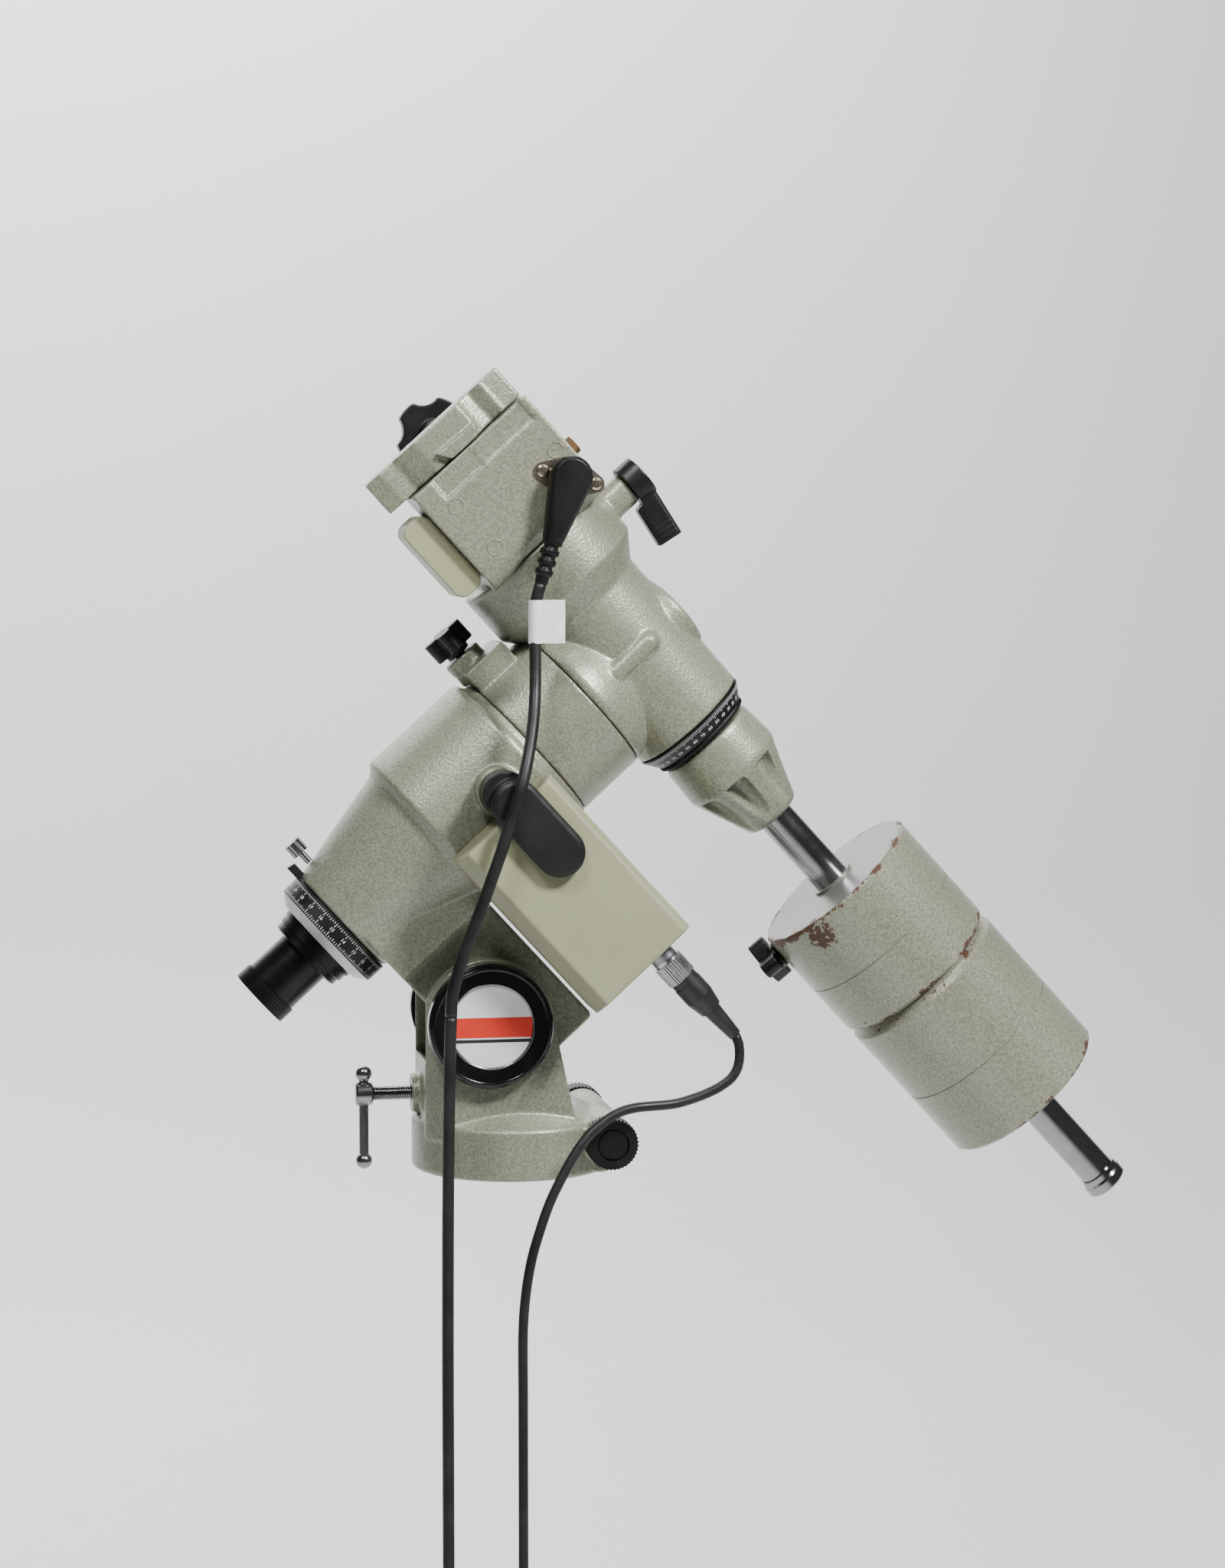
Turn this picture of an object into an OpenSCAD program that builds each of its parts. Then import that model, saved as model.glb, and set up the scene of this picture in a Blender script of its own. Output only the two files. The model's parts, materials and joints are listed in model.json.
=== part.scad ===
// German equatorial mount head with single-axis drives on both axes.
// Origin: centre of the base's underside. X points north, Z up, millimetres.

/* [Pointing] */
// Latitude that the polar axis is set to, in degrees
latitude = 42.5; // [41:0.5:44]

/* [Base] */
// Radius of the round foot
foot_r = 54.5; // [53:0.5:56]
// Height of the foot's rim above the tripod seat
foot_h = 28; // [26:0.5:29]
// Half width of the fork over its two cheeks
cheek_y = 38; // [37:0.5:39]
// Radius of the rounded cheek round the altitude pivot
cheek_r = 35; // [34.5:0.1:35.5]
// Radius of the recess that takes the tripod's spigot
spigot_r = 30; // [29:0.5:31]
// Height of the altitude pivot above the tripod seat
pivot_z = 82.5; // [82:0.1:83]

/* [Polar axis] */
// Distance from the altitude pivot to the polar axis
axis_gap = 89.5; // [89:0.1:90]
// Radius of the big drum over the worm wheel
drum_r = 51.6; // [51:0.1:52]
// Radius of the lower end of the housing
lower_r = 32.6; // [32:0.1:33]
// Outer radius of the hollow polar shaft
ra_shaft_r = 20; // [19:0.5:20]
// Height of the crossing with the declination axis, along the polar axis
cross_a = 192; // [191:0.5:193]

/* [Declination axis] */
// Radius of the declination tube at its lower rim
tube_r = 34.2; // [34:0.1:34.6]
// Radius of the clutch drum
dec_drum_r = 46; // [45.5:0.1:46.2]
// Outer radius of the declination shaft
dec_shaft_r = 17.5; // [17:0.1:17.5]

/* [Saddle] */
// Length of the saddle
saddle_l = 94; // [90:1:98]
// Width of the saddle over its two sides
saddle_w = 88; // [86:1:90]
// Width of the dovetail groove at its floor
groove_w = 46; // [45:0.5:47]

/* [Counterweights] */
// Radius of the counterweight shaft
bar_r = 10; // [9.8:0.1:10]
// Radius of both weights
weight_r = 49; // [47:0.5:50]
// Length of the upper weight
upper_l = 69; // [66:1:69]
// Length of the lower weight
lower_l = 93; // [90:1:95]

/* [Leads] */
// Diameter of the declination lead
dec_lead_d = 6.3; // [6:0.1:6.5]
// Diameter of the polar-axis lead
ra_lead_d = 5.3; // [5:0.1:5.5]

/* [Hidden] */

$fn = 96;
paint = [0.68, 0.69, 0.62];
cream = [0.74, 0.73, 0.60];
black = [0.06, 0.06, 0.07];
steel = [0.72, 0.73, 0.75];
brass_c = [0.72, 0.58, 0.30];
run = 0.05;    // radial clearance of a running fit
gap = 0.35;    // clearance between neighbours that move
pivot_x = -17;
pivot_r = 9;
polar_tilt = 90 - latitude;

// Shared frames. In tilted(), x runs down the declination axis and z up the polar axis.
module tilted() {
    translate([pivot_x, 0, pivot_z]) rotate([0, polar_tilt, 0]) children();
}
module ra_frame(a = 0) {
    tilted() translate([-axis_gap, 0, a]) children();
}
// In dec_frame(), z runs up to the saddle and x up the polar axis.
module dec_frame(h = 0) {
    ra_frame(cross_a) rotate([0, -90, 0]) translate([0, 0, h]) children();
}
module along_y(y0, y1, r) {
    translate([0, y0, 0]) rotate([-90, 0, 0]) cylinder(r = r, h = y1 - y0);
}
module along_x(x0, x1, r) {
    translate([x0, 0, 0]) rotate([0, 90, 0]) cylinder(r = r, h = x1 - x0);
}
module ring(r_out, r_in, h) {
    rotate_extrude() translate([r_in, 0]) square([r_out - r_in, h]);
}
module rounded_rect(w, d, r) {
    union() {
        translate([r, 0]) square([w - 2 * r, d]);
        translate([0, r]) square([w, d - 2 * r]);
        for (x = [r, w - r], y = [r, d - r]) translate([x, y]) circle(r = r, $fn = 32);
    }
}
// A round bar with shallow grooves across it, standing for a screw thread.
module threaded_bar(r, l, pitch) {
    turns = floor(l / pitch);
    rotate_extrude() polygon(concat(
        [[0, 0]],
        [for (i = [0 : turns - 1]) each [[r - 0.6, i * pitch], [r, (i + 0.5) * pitch]]],
        [[r - 0.6, l], [0, l]]
    ));
}
module knurled(r, h, teeth, depth) {
    difference() {
        cylinder(r = r, h = h);
        for (i = [0 : teeth - 1]) rotate(i * 360 / teeth)
            translate([r, 0, -1]) cylinder(r = depth, h = h + 2, $fn = 6);
    }
}

// ---------- base ----------
slot_y = 22.6;
slot_floor = 35.5;
bolt_z = 40.8;
bolt_r = 4;
knob_x = 46;
knob_z = 19.7;
post = [15, 22, 26];
centre_bolt_r = 5.2;

module tower_side() {
    union() {
        polygon([[-50, 20], [33, 20], [28.5, 34], [18, pivot_z], [pivot_x, pivot_z], [-50, 90]]);
        translate([pivot_x, pivot_z]) circle(r = cheek_r);
    }
}
module azimuth_base() color(paint) difference() {
    union() {
        rotate_extrude() polygon([
            [0, 0], [foot_r - 1.5, 0], [foot_r, 1.5], [foot_r, foot_h - 1.6],
            [foot_r - 1.6, foot_h], [36, foot_h + 6.5], [0, foot_h + 6.5]
        ]);
        intersection() {
            translate([0, cheek_y, 0]) rotate([90, 0, 0])
                linear_extrude(2 * cheek_y) tower_side();
            cylinder(r = foot_r + 0.6, h = 130);
        }
        translate([0, 0, bolt_z]) along_x(-55, -44, 10.5);
        translate([knob_x, 0, knob_z]) along_y(-44, 44, 13);
        translate([knob_x - 4, 0, knob_z - 4]) along_y(-40, 40, 14.5);
    }
    // slot for the polar housing's lug
    translate([-46, -slot_y, slot_floor]) cube([110, 2 * slot_y, 100]);
    translate([-70, -slot_y, 60]) cube([40, 2 * slot_y, 100]);
    translate([pivot_x, 0, pivot_z]) along_y(-60, 60, pivot_r);
    for (side = [-1, 1]) translate([pivot_x, side * (cheek_y - 2), pivot_z])
        rotate([-90 * side, 0, 0]) cylinder(r = 16, h = 10);
    translate([0, 0, bolt_z]) along_x(-60, 0, bolt_r + run);
    translate([0, 0, -1]) cylinder(r = spigot_r, h = 13);
    cylinder(r = centre_bolt_r, h = 31);
    translate([knob_x - post[0] / 2 - 2, -post[1] / 2, -1]) cube([post[0], post[1], post[2] + 1]);
    translate([knob_x, 0, knob_z]) along_y(-60, 60, bolt_r + run);
}

module altitude_pivot() color(steel) translate([pivot_x, 0, pivot_z]) union() {
    along_y(-cheek_y, cheek_y, pivot_r);
    for (side = [-1, 1]) rotate([-90 * side, 0, 0]) translate([0, 0, cheek_y - 2])
        cylinder(r = 15, h = 5, $fn = 6);
}
cap_r = 33.5;
cap_h = 9;
badge_r = 21.8;
module altitude_cap(recess) rotate([90, 0, 0]) difference() {
    rotate_extrude() polygon([
        [0, 0], [cap_r, 0], [cap_r, cap_h - 2.5], [cap_r - 0.8, cap_h - 0.8],
        [cap_r - 2.5, cap_h], [0, cap_h]
    ]);
    translate([0, 0, -1]) cylinder(r = 19, h = cap_h - 2.5);
    translate([0, 0, cap_h - recess]) cylinder(r = badge_r + 1.6, h = 5);
}
module altitude_cap_front() color(black)
    translate([pivot_x, -cheek_y, pivot_z]) altitude_cap(2);
module altitude_cap_rear() color(black)
    translate([pivot_x, cheek_y, pivot_z]) rotate(180) altitude_cap(1);
module cap_badge() color("white")
    translate([pivot_x, -cheek_y - cap_h + 2, pivot_z]) rotate([90, 0, 0])
        cylinder(r = badge_r, h = 1);

// Knob with a threaded stem along y. side is -1 near and 1 far.
module azimuth_knob(side) color(black)
    translate([knob_x, 0, knob_z]) rotate([-90 * side, 0, 0]) union() {
        translate([0, 0, 46]) knurled(13.8, 13, 40, 0.7);
        translate([0, 0, 59]) ring(13, 8.6, 1.6);
        translate([0, 0, 59]) cylinder(r = 7.6, h = 0.8);
        translate([0, 0, 44.4]) cylinder(r = 9, h = 1.6);
        translate([0, 0, 13]) cylinder(r = bolt_r, h = 33);
    }
module azimuth_knob_near() azimuth_knob(-1);
module azimuth_knob_far() azimuth_knob(1);

bar_x = -80.7;
module altitude_screw() color(steel) translate([0, 0, bolt_z]) difference() {
    union() {
        translate([-76, 0, 0]) rotate([0, 90, 0]) threaded_bar(bolt_r, 22, 1.25);
        along_x(-54.2, -24.8, bolt_r);
        translate([-24.8, 0, 0]) rotate([0, 90, 0]) cylinder(r1 = bolt_r, r2 = 2.2, h = 3);
        translate([-85.3, 0, 0]) rotate([0, 90, 0]) rotate_extrude()
            polygon([[0, 0], [5.4, 0], [6.4, 1], [6.4, 8.3], [5.4, 9.3], [0, 9.3]]);
    }
    translate([bar_x, 0, -10]) cylinder(r = 2.6 + run, h = 20);
}
module altitude_tbar() color(steel) translate([bar_x, 0, 0]) union() {
    translate([0, 0, 4.2]) cylinder(r = 2.6, h = 47.5);
    for (z = [4.2, 51.7]) translate([0, 0, z]) sphere(r = 4.4, $fn = 64);
}

// ---------- polar axis housing ----------
wheel_a = 87.6;
worm_c = 39.5;
bearing_r = 26;
box_y0 = -80;
module lug_profile() {
    offset(r = 3, $fn = 24) offset(delta = -3)
        translate([-58, -17]) square([96.5, 61]);
}
module ra_housing() color(paint) difference() {
    union() {
        ra_frame() rotate_extrude() polygon([
            [0, -36], [24, -36], [24, -20], [lower_r - 0.8, -20], [lower_r, -19.2],
            [46.4, 44.6], [drum_r - 0.4, 49], [drum_r, 49.6], [drum_r, 109],
            [drum_r - 1, 111.5], [46.5, 113.5], [45.8, 117], [0, 117]
        ]);
        ra_frame(-17) linear_extrude(61) polygon([
            [0, -33], [40, -33], [44.5, -30], [44.5, 30], [40, 33], [0, 33]
        ]);
        tilted() translate([0, 22, 0]) rotate([90, 0, 0]) linear_extrude(44) lug_profile();
        translate([pivot_x, 0, pivot_z]) {
            translate([0, 10, -41.7]) rotate([90, 0, 0]) cylinder(r = 4.3, h = 20);
            translate([-4.3, -10, -41.7]) cube([8.6, 20, 30]);
        }
        // pad for the lower end cap of the worm
        ra_frame(wheel_a) translate([-1, 0, 0]) along_y(-62, 0, 13);
    }
    translate([pivot_x, 0, pivot_z]) along_y(-30, 30, pivot_r + run);
    ra_frame(-40) cylinder(r = ra_shaft_r + 1, h = 170);
    ra_frame(-16) cylinder(r = bearing_r, h = 10);
    ra_frame(105) cylinder(r = bearing_r, h = 20);
    ra_frame(wheel_a - 8) cylinder(r = 34, h = 16);
    ra_frame(wheel_a) translate([worm_c, 0, 0]) along_y(-90, 34, 8.6);
    // hollow in the underside that takes the altitude bolt's cross bar at high latitudes
    ra_frame(-18) translate([38, -7, 0]) cube([30, 14, 6.5]);
}
module ra_bearings() color(steel) {
    ra_frame(-16) ring(bearing_r, ra_shaft_r + run, 10);
    ra_frame(105) ring(bearing_r, ra_shaft_r + run, 10);
}
// Cast drive case beside the drum, open at the back, with its far edges rounded.
case_a0 = 45;
case_l = 67;
case_c0 = 8;
case_w = 110;
module ra_motor_case() color(cream) difference() {
    ra_frame(case_a0) translate([case_c0, box_y0, 0]) difference() {
        hull() {
            for (x = [1.5, case_w - 2.5], z = [7.5, case_l - 4.5])
                translate([x, 1.5, z]) sphere(r = 1.5, $fn = 24);
            translate([0, 9, 0]) cube([case_w, 29, case_l]);
        }
        translate([2, 2, 8]) cube([case_w - 4, 40, case_l - 13]);
    }
    ra_frame() cylinder(r = drum_r + 0.3, h = 130);
    ra_frame(wheel_a) translate([worm_c, 0, 0]) along_y(-90, -70, 11.6);
    ra_frame(socket_a) translate([case_c0 + case_w, socket_y, 0]) along_x(-5, 5, 7);
    ra_frame(wheel_a) translate([-1, 0, 0]) along_y(-90, 0, 13.3);
}
socket_a = 91;
socket_y = -62;
module ra_motor() color([0.35, 0.36, 0.38]) {
    // motor can with its output shaft and pinion
    ra_frame(wheel_a) translate([81, 0, 0]) {
        along_y(-68, -44, 18);
        along_y(-76, -68, 2);
        along_y(-75, -70, 19);
    }
    ra_frame(socket_a) translate([case_c0 + case_w, socket_y, 0]) {
        along_x(-5, 5, 7);
    }
}
module oval_outline(r) {
    hull() {
        translate([5.6, 0]) circle(r = r, $fn = 64);
        translate([worm_c, 0]) circle(r = r, $fn = 64);
    }
}
module ra_gear_cover() color(black) ra_frame(wheel_a) {
    rotate([90, 0, 0]) translate([0, 0, -box_y0]) difference() {
        union() {
            linear_extrude(5.5) oval_outline(13.2);
            translate([0, 0, 5.5]) linear_extrude(1.2) oval_outline(12.4);
            translate([0, 0, 6.7]) linear_extrude(0.9) oval_outline(10.8);
        }
        translate([worm_c, 0, -1]) cylinder(r = 10.8, h = 5.5);
    }
    translate([-1, 0, 0]) along_y(-79.9, -62, 12.4);
}
module ra_plug() color(black) ra_frame(socket_a) translate([case_c0 + case_w, socket_y, 0])
    rotate([0, 90, 0]) union() {
        translate([0, 0, 5]) cylinder(r = 7.2, h = 2);
        translate([0, 0, 7]) knurled(8.4, 12, 36, 0.5);
        translate([0, 0, 19]) cylinder(r = 7.6, h = 4);
        rotate_extrude() polygon([
            [0, 23], [8, 23], [8, 33], [6.2, 42.5], [5, 43], [3.5, 62], [0, 62]
        ]);
    }

// ---------- parts at the polar scope's end ----------
module ra_setting_circle() color(black) ra_frame(-30.9)
    ring(33.2, 24 + run, 10.6);
module circle_retaining_ring() color(steel) ra_frame(-36) rotate_extrude()
    polygon([[24, 0], [26.5, 0], [33, 4.8], [24, 4.8]]);
module ra_circle_screw() color(steel) ra_frame(-10.5) translate([-35.3, 0, 0])
    rotate([0, -90, 0]) union() {
        cylinder(r = 2, h = 9);
        translate([0, 0, 6.7]) knurled(4.8, 7.5, 14, 0.7);
    }
module polar_scope_tube() color(black) ra_frame() difference() {
    rotate_extrude() polygon([
        [0, -71], [15.8, -71], [15.8, -47.5], [19, -47.5], [21.5, -46.7], [21.5, -43.2],
        [22.6, -42.6], [22.6, -38.4], [23.6, -38.4], [23.6, -36], [19.5, -36], [14.5, -30],
        [14.5, 125], [0, 125]
    ]);
    translate([0, 0, -80]) cylinder(r = 12, h = 220);
}
module polar_scope_lenses() color([0.75, 0.85, 0.9, 0.5]) ra_frame() {
    translate([0, 0, -68]) cylinder(r = 12, h = 4);
    translate([0, 0, 115]) cylinder(r = 12, h = 6);
}
module eyepiece_ring() color(black) ra_frame(-80.4) difference() {
    union() {
        knurled(16.9, 8.9, 60, 0.35);
        cylinder(r = 16, h = 9.1);
    }
    translate([0, 0, -1]) cylinder(r = 8, h = 12);
    translate([0, 0, -1]) rotate_extrude() polygon([[0, 0], [13, 0], [8, 5], [0, 5]]);
}

// ---------- polar drive and shaft ----------
module ra_worm_wheel() color(brass_c) ra_frame(wheel_a - 6) ring(31.6, ra_shaft_r + run, 12);
module ra_worm() color(steel) ra_frame(wheel_a) translate([worm_c, 0, 0]) {
    along_y(-14, 14, 7.4);
    along_y(-78, 32, 3);
    along_y(-75, -70, 10);
}
module ra_shaft() color(steel) ra_frame(-30) difference() {
    cylinder(r = ra_shaft_r, h = 190);
    translate([0, 0, -1]) cylinder(r = 15.5, h = 220);
}
clutch_a = 124.6;
module ra_collar() color(paint) difference() {
    union() {
        ra_frame(117 + gap) cylinder(r = 45.6, h = 38.8);
        ra_frame(118) translate([-54, -20, 0]) cube([20, 40, 26.5]);
        ra_frame(clutch_a) translate([-54, 0, 0]) along_x(-7.5, 10, 11);
    }
    ra_frame(100) cylinder(r = ra_shaft_r, h = 70);
    // running gap over the end of the housing
    ra_frame(100) cylinder(r = 47, h = 17 + gap);
    ra_frame(100) cylinder(r = 55, h = 14.3);
    // room for the declination tube's cone and clutch drum
    dec_frame(37) cylinder(r1 = 35.9, r2 = dec_drum_r + 0.4, h = 14);
    dec_frame(51) cylinder(r = dec_drum_r + 0.4, h = 20);
    ra_frame(clutch_a) along_x(-70, 0, 3 + run);
}
module lobe(r, w) {
    hull() {
        circle(r = w / 2, $fn = 24);
        translate([r - w / 2, 0]) circle(r = w / 2, $fn = 24);
    }
}
module ra_clutch_knob() color(black) ra_frame(clutch_a) translate([-62, 0, 0])
    rotate([0, -90, 0]) union() {
        translate([0, 0, -16]) cylinder(r = 3, h = 18);
        translate([0, 0, 0.4]) cylinder(r = 7, h = 3);
        translate([0, 0, 3]) linear_extrude(12) union() {
            for (t = [0 : 90 : 270]) rotate(t) lobe(12, 8.4);
        }
    }

// ---------- declination housing ----------
dec_wheel_h = 104;
dec_worm_y = -33;
module dec_body() {
    dec_frame() rotate_extrude() polygon([
        [0, -49.7], [tube_r - 0.8, -49.7], [tube_r, -48.9], [35.5, 25], [35.5, 37],
        [dec_drum_r, 51], [dec_drum_r, 79], [dec_drum_r - 1.5, 80.5], [36, 80.5],
        [36, 116], [30, 118], [30, 139], [0, 139]
    ]);
}
module dec_housing() color(paint) difference() {
    union() {
        dec_body();
        // flange over the polar collar, domed into the tube
        ra_frame() rotate_extrude() polygon([
            [0, 156.6], [45.6, 156.6], [45.6, 161], [42.4, 167.5], [33.5, 181], [24, 190], [0, 190]
        ]);
        // raised finger on the near side
        dec_frame(1.5) translate([0, -33, 0]) {
            along_x(-16, 9, 5.5);
            for (x = [-16, 9]) translate([x, 0, 0]) sphere(r = 5.5);
        }
        // boss round the polar window
        ra_frame(200) rotate_extrude() polygon([[0, 0], [26, 0], [21.5, 27], [20.5, 28], [0, 28]]);
        dec_frame(66) along_x(40, 60, 9.5);
    }
    dec_frame(-60) cylinder(r = dec_shaft_r + 1.5, h = 210);
    dec_frame(-46) cylinder(r = 23, h = 9);
    dec_frame(124) cylinder(r = 23, h = 9);
    dec_frame(dec_wheel_h - 7) cylinder(r = 28.5, h = 14);
    dec_frame(dec_wheel_h) translate([0, dec_worm_y, 0]) along_x(-60, 30, 6.4);
    ra_frame(140) cylinder(r = 20.2, h = 30);
    ra_frame(150) cylinder(r = 15.5, h = 25);
    ra_frame(205) cylinder(r = 15.5, h = 40);
    ra_frame(224) cylinder(r = 18, h = 10);
    dec_frame(66) along_x(20, 70, 3 + run);
}
module dec_bearings() color(steel) {
    for (h = [-46, 124]) dec_frame(h) ring(23, dec_shaft_r + run, 9);
}
module polar_window_cap() color(paint) ra_frame(224) union() {
    cylinder(r = 18, h = 4);
    translate([0, 0, -5]) ring(15.5, 13, 5);
}
module dec_clutch_lever() color(black) dec_frame(66) union() {
    along_x(46, 62, 3);
    translate([60.4, 0, 0]) rotate([0, 90, 0]) cylinder(r = 11.8, h = 11);
    difference() {
        translate([66, 0, 0]) rotate([0, 190, 0]) translate([-6.5, -5.5, 0]) difference() {
            linear_extrude(37) rounded_rect(14.5, 11, 2.5);
            for (z = [26 : 3 : 35], y = [-0.6, 10.8])
                translate([-1, y, z]) cube([17, 0.8, 1.3]);
        }
        // flat face over the boss that it turns on
        along_x(40, 60.4, 13);
    }
}

// ---------- declination drive case ----------
dcase_u = [-34, 46];
dcase_h = [77.5, 143.9];
dcase_y = [-50, -12];
// Cross-section of the case, x along the declination axis, with one large round edge.
module case_section(wall, round_r) {
    h0 = dcase_h[0] + wall;
    y0 = dcase_y[0] + wall;
    union() {
        translate([h0 + round_r, y0]) square([dcase_h[1] - wall - h0 - round_r, dcase_y[1] - y0]);
        translate([h0, y0 + round_r]) square([dcase_h[1] - wall - h0, dcase_y[1] - y0 - round_r]);
        translate([h0 + round_r, y0 + round_r]) circle(r = round_r);
    }
}
module along_u(u0, u1) {
    dec_frame() translate([u1, 0, 0]) rotate([0, -90, 0]) linear_extrude(u1 - u0) children();
}
module dec_motor_case() color(paint) difference() {
    along_u(dcase_u[0], dcase_u[1]) case_section(0, 14);
    along_u(dcase_u[0] + 2, dcase_u[1] - 2) union() {
        case_section(2.2, 12);
        translate([dcase_h[0] + 2.2, dcase_y[1] - 5]) square([62, 10]);
    }
    // two shallow steps along the top of the front face
    dec_frame() translate([-21, dcase_y[0] - 1, 131.4]) cube([27, 2.9, 20]);
    dec_frame() translate([5, dcase_y[0] - 1, 131.4]) cube([36.5, 2.3, 20]);
    dec_frame(70) cylinder(r = dec_drum_r + 0.3, h = 10.8);
    dec_frame() cylinder(r = 36.3, h = 117);
    dec_frame(110) cylinder(r = 30.3, h = 50);
    dec_frame(dec_wheel_h) translate([0, dec_worm_y, 0]) along_x(-40, -20, 9.2);
    dec_frame(dec_motor_h) translate([0, dec_worm_y, 0]) along_x(-40, -20, 3.5);
    dec_frame(case_bolt_h) translate([0, -34, 0]) along_x(30, 60, 3);
    dec_frame(plug_h) translate([plug_u, 0, 0]) along_y(-60, -40, 7.5);
}
case_bolt_h = 106;
module dec_case_bolt() color([0.42, 0.33, 0.22]) dec_frame(case_bolt_h) translate([0, -34, 0]) {
    along_x(36, 46, 3);
    translate([46, 0, 0]) rotate([0, 90, 0]) cylinder(r = 5, h = 4.5, $fn = 6);
}
module dec_gear_cover() color(cream) difference() {
    dec_frame() translate([-51, -44.5, 86]) rounded_box_y([16.8, 32, 49], 6);
    dec_frame() translate([-49.4, -42.5, 90]) cube([20, 28, 42.5]);
}
// Box with its edges along y rounded.
module rounded_box_y(size, r) {
    translate([0, size[1], 0]) rotate([90, 0, 0]) linear_extrude(size[1])
        rounded_rect(size[0], size[2], r);
}
dec_motor_h = 121.6;
module dec_motor() color([0.35, 0.36, 0.38]) dec_frame(dec_motor_h) translate([0, dec_worm_y, 0]) {
    along_x(27, 43, 9.5);
    along_x(-48, 27, 1.5);
    along_x(-47, -41, 8.6);
}
plug_u = 34.2;
plug_h = 96.5;
screw_du = 8.1;
screw_dh = 12;
module dec_socket() color(steel) dec_frame(plug_h) translate([plug_u, dcase_y[0], 0])
    rotate([90, 0, 0]) union() {
        linear_extrude(1.2) hull() {
            circle(r = 11, $fn = 48);
            for (s = [-1, 1]) translate([-s * screw_du, s * screw_dh]) circle(r = 4.6, $fn = 32);
        }
        translate([0, 0, -8]) cylinder(r = 7.5, h = 8);
        for (s = [-1, 1]) translate([-s * screw_du, s * screw_dh, 1.2]) difference() {
            rotate_extrude() polygon([[0, 0], [3.3, 0], [3.3, 0.7], [2.2, 1.5], [0, 1.7]]);
            for (t = [0, 90]) rotate(t) translate([-2, -0.4, 0.8]) cube([4, 0.8, 2]);
        }
    }
// Right-angle plug: head on the socket, tapering to a ribbed strain relief.
head_p = [23.6, -51.2, 372.4];
neck_p = [14.8, -60.5, 343];
relief_p = [7.3, -61, 317];
module between(p, q) {
    v = q - p;
    translate(p) rotate([0, acos(v[2] / norm(v)), atan2(v[1], v[0])]) children();
}
module dec_plug() color(black) union() {
    translate(head_p) rotate([90, 0, 0]) cylinder(r = 11.2, h = 10);
    hull() {
        translate(head_p) rotate([90, 0, 0]) translate([0, 0, 4]) cylinder(r = 11.2, h = 8, $fn = 40);
        translate(head_p) rotate([90, 0, 0]) translate([0, 0, 4]) cylinder(r = 9.4, h = 11, $fn = 40);
        between(neck_p, relief_p) cylinder(r = 5.8, h = 3, $fn = 32);
    }
    between(neck_p, relief_p) rotate_extrude() polygon([
        [0, 0], [5.4, 0], [5.4, 6], [3.9, 6], [3.9, 8.4], [5.2, 8.4], [5.2, 11.4], [3.8, 11.4],
        [3.8, 13.8], [5, 13.8], [5, 16.8], [3.7, 16.8], [3.7, 19.2], [4.8, 19.2], [4.8, 22.2],
        [3.6, 22.2], [3.5, 27.06], [0, 27.06]
    ]);
}
module dec_worm_wheel() color(brass_c) dec_frame(dec_wheel_h - 6)
    ring(27.2, dec_shaft_r + run, 12);
module dec_worm() color(steel) dec_frame(dec_wheel_h) translate([0, dec_worm_y, 0]) {
    along_x(-12, 12, 5.4);
    along_x(-46, 28, 2.5);
    along_x(-47, -41, 8.6);
}
module dec_setting_circle() color(black) dec_frame(-61.2) rotate_extrude() polygon([
    [dec_shaft_r + 1.2, 0], [28.6, 0], [28.6, 2.2], [29.6, 3], [34.3, 10.4], [34.3, 11.2],
    [dec_shaft_r + 1.2, 11.2]
]);

// ---------- declination shaft and saddle ----------
saddle_h = [144.7, 164.3];
far_wall_h = 158.6;
groove_h = 150.5;
clamp_h = 153.2;
clamp_u = 9.5;
module dec_shaft() color(steel) dec_frame(-62.8) difference() {
    union() {
        cylinder(r = dec_shaft_r, h = 62.8 + saddle_h[0]);
        translate([0, 0, -18]) cylinder(r = 12, h = 19);
    }
    translate([0, 0, -19]) cylinder(r = bar_r, h = 60);
}
// Outline of the saddle seen along the declination axis, with a shorter far side.
module saddle_plan() {
    near = -saddle_w / 2;
    far = saddle_w / 2 - 6;
    half = saddle_l / 2;
    polygon([
        [-half, near + 8], [-37.3, near + 5.5], [-28, near + 6.5], [-24, near + 4], [-14, near],
        [16, near], [19, near + 2.5], [25.5, near + 5.5], [33, near + 2], [34.5, near + 3],
        [half - 1.5, near + 4.5], [half - 2, far - 10], [38, far], [-37, far], [-42, far - 10]
    ]);
}
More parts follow.
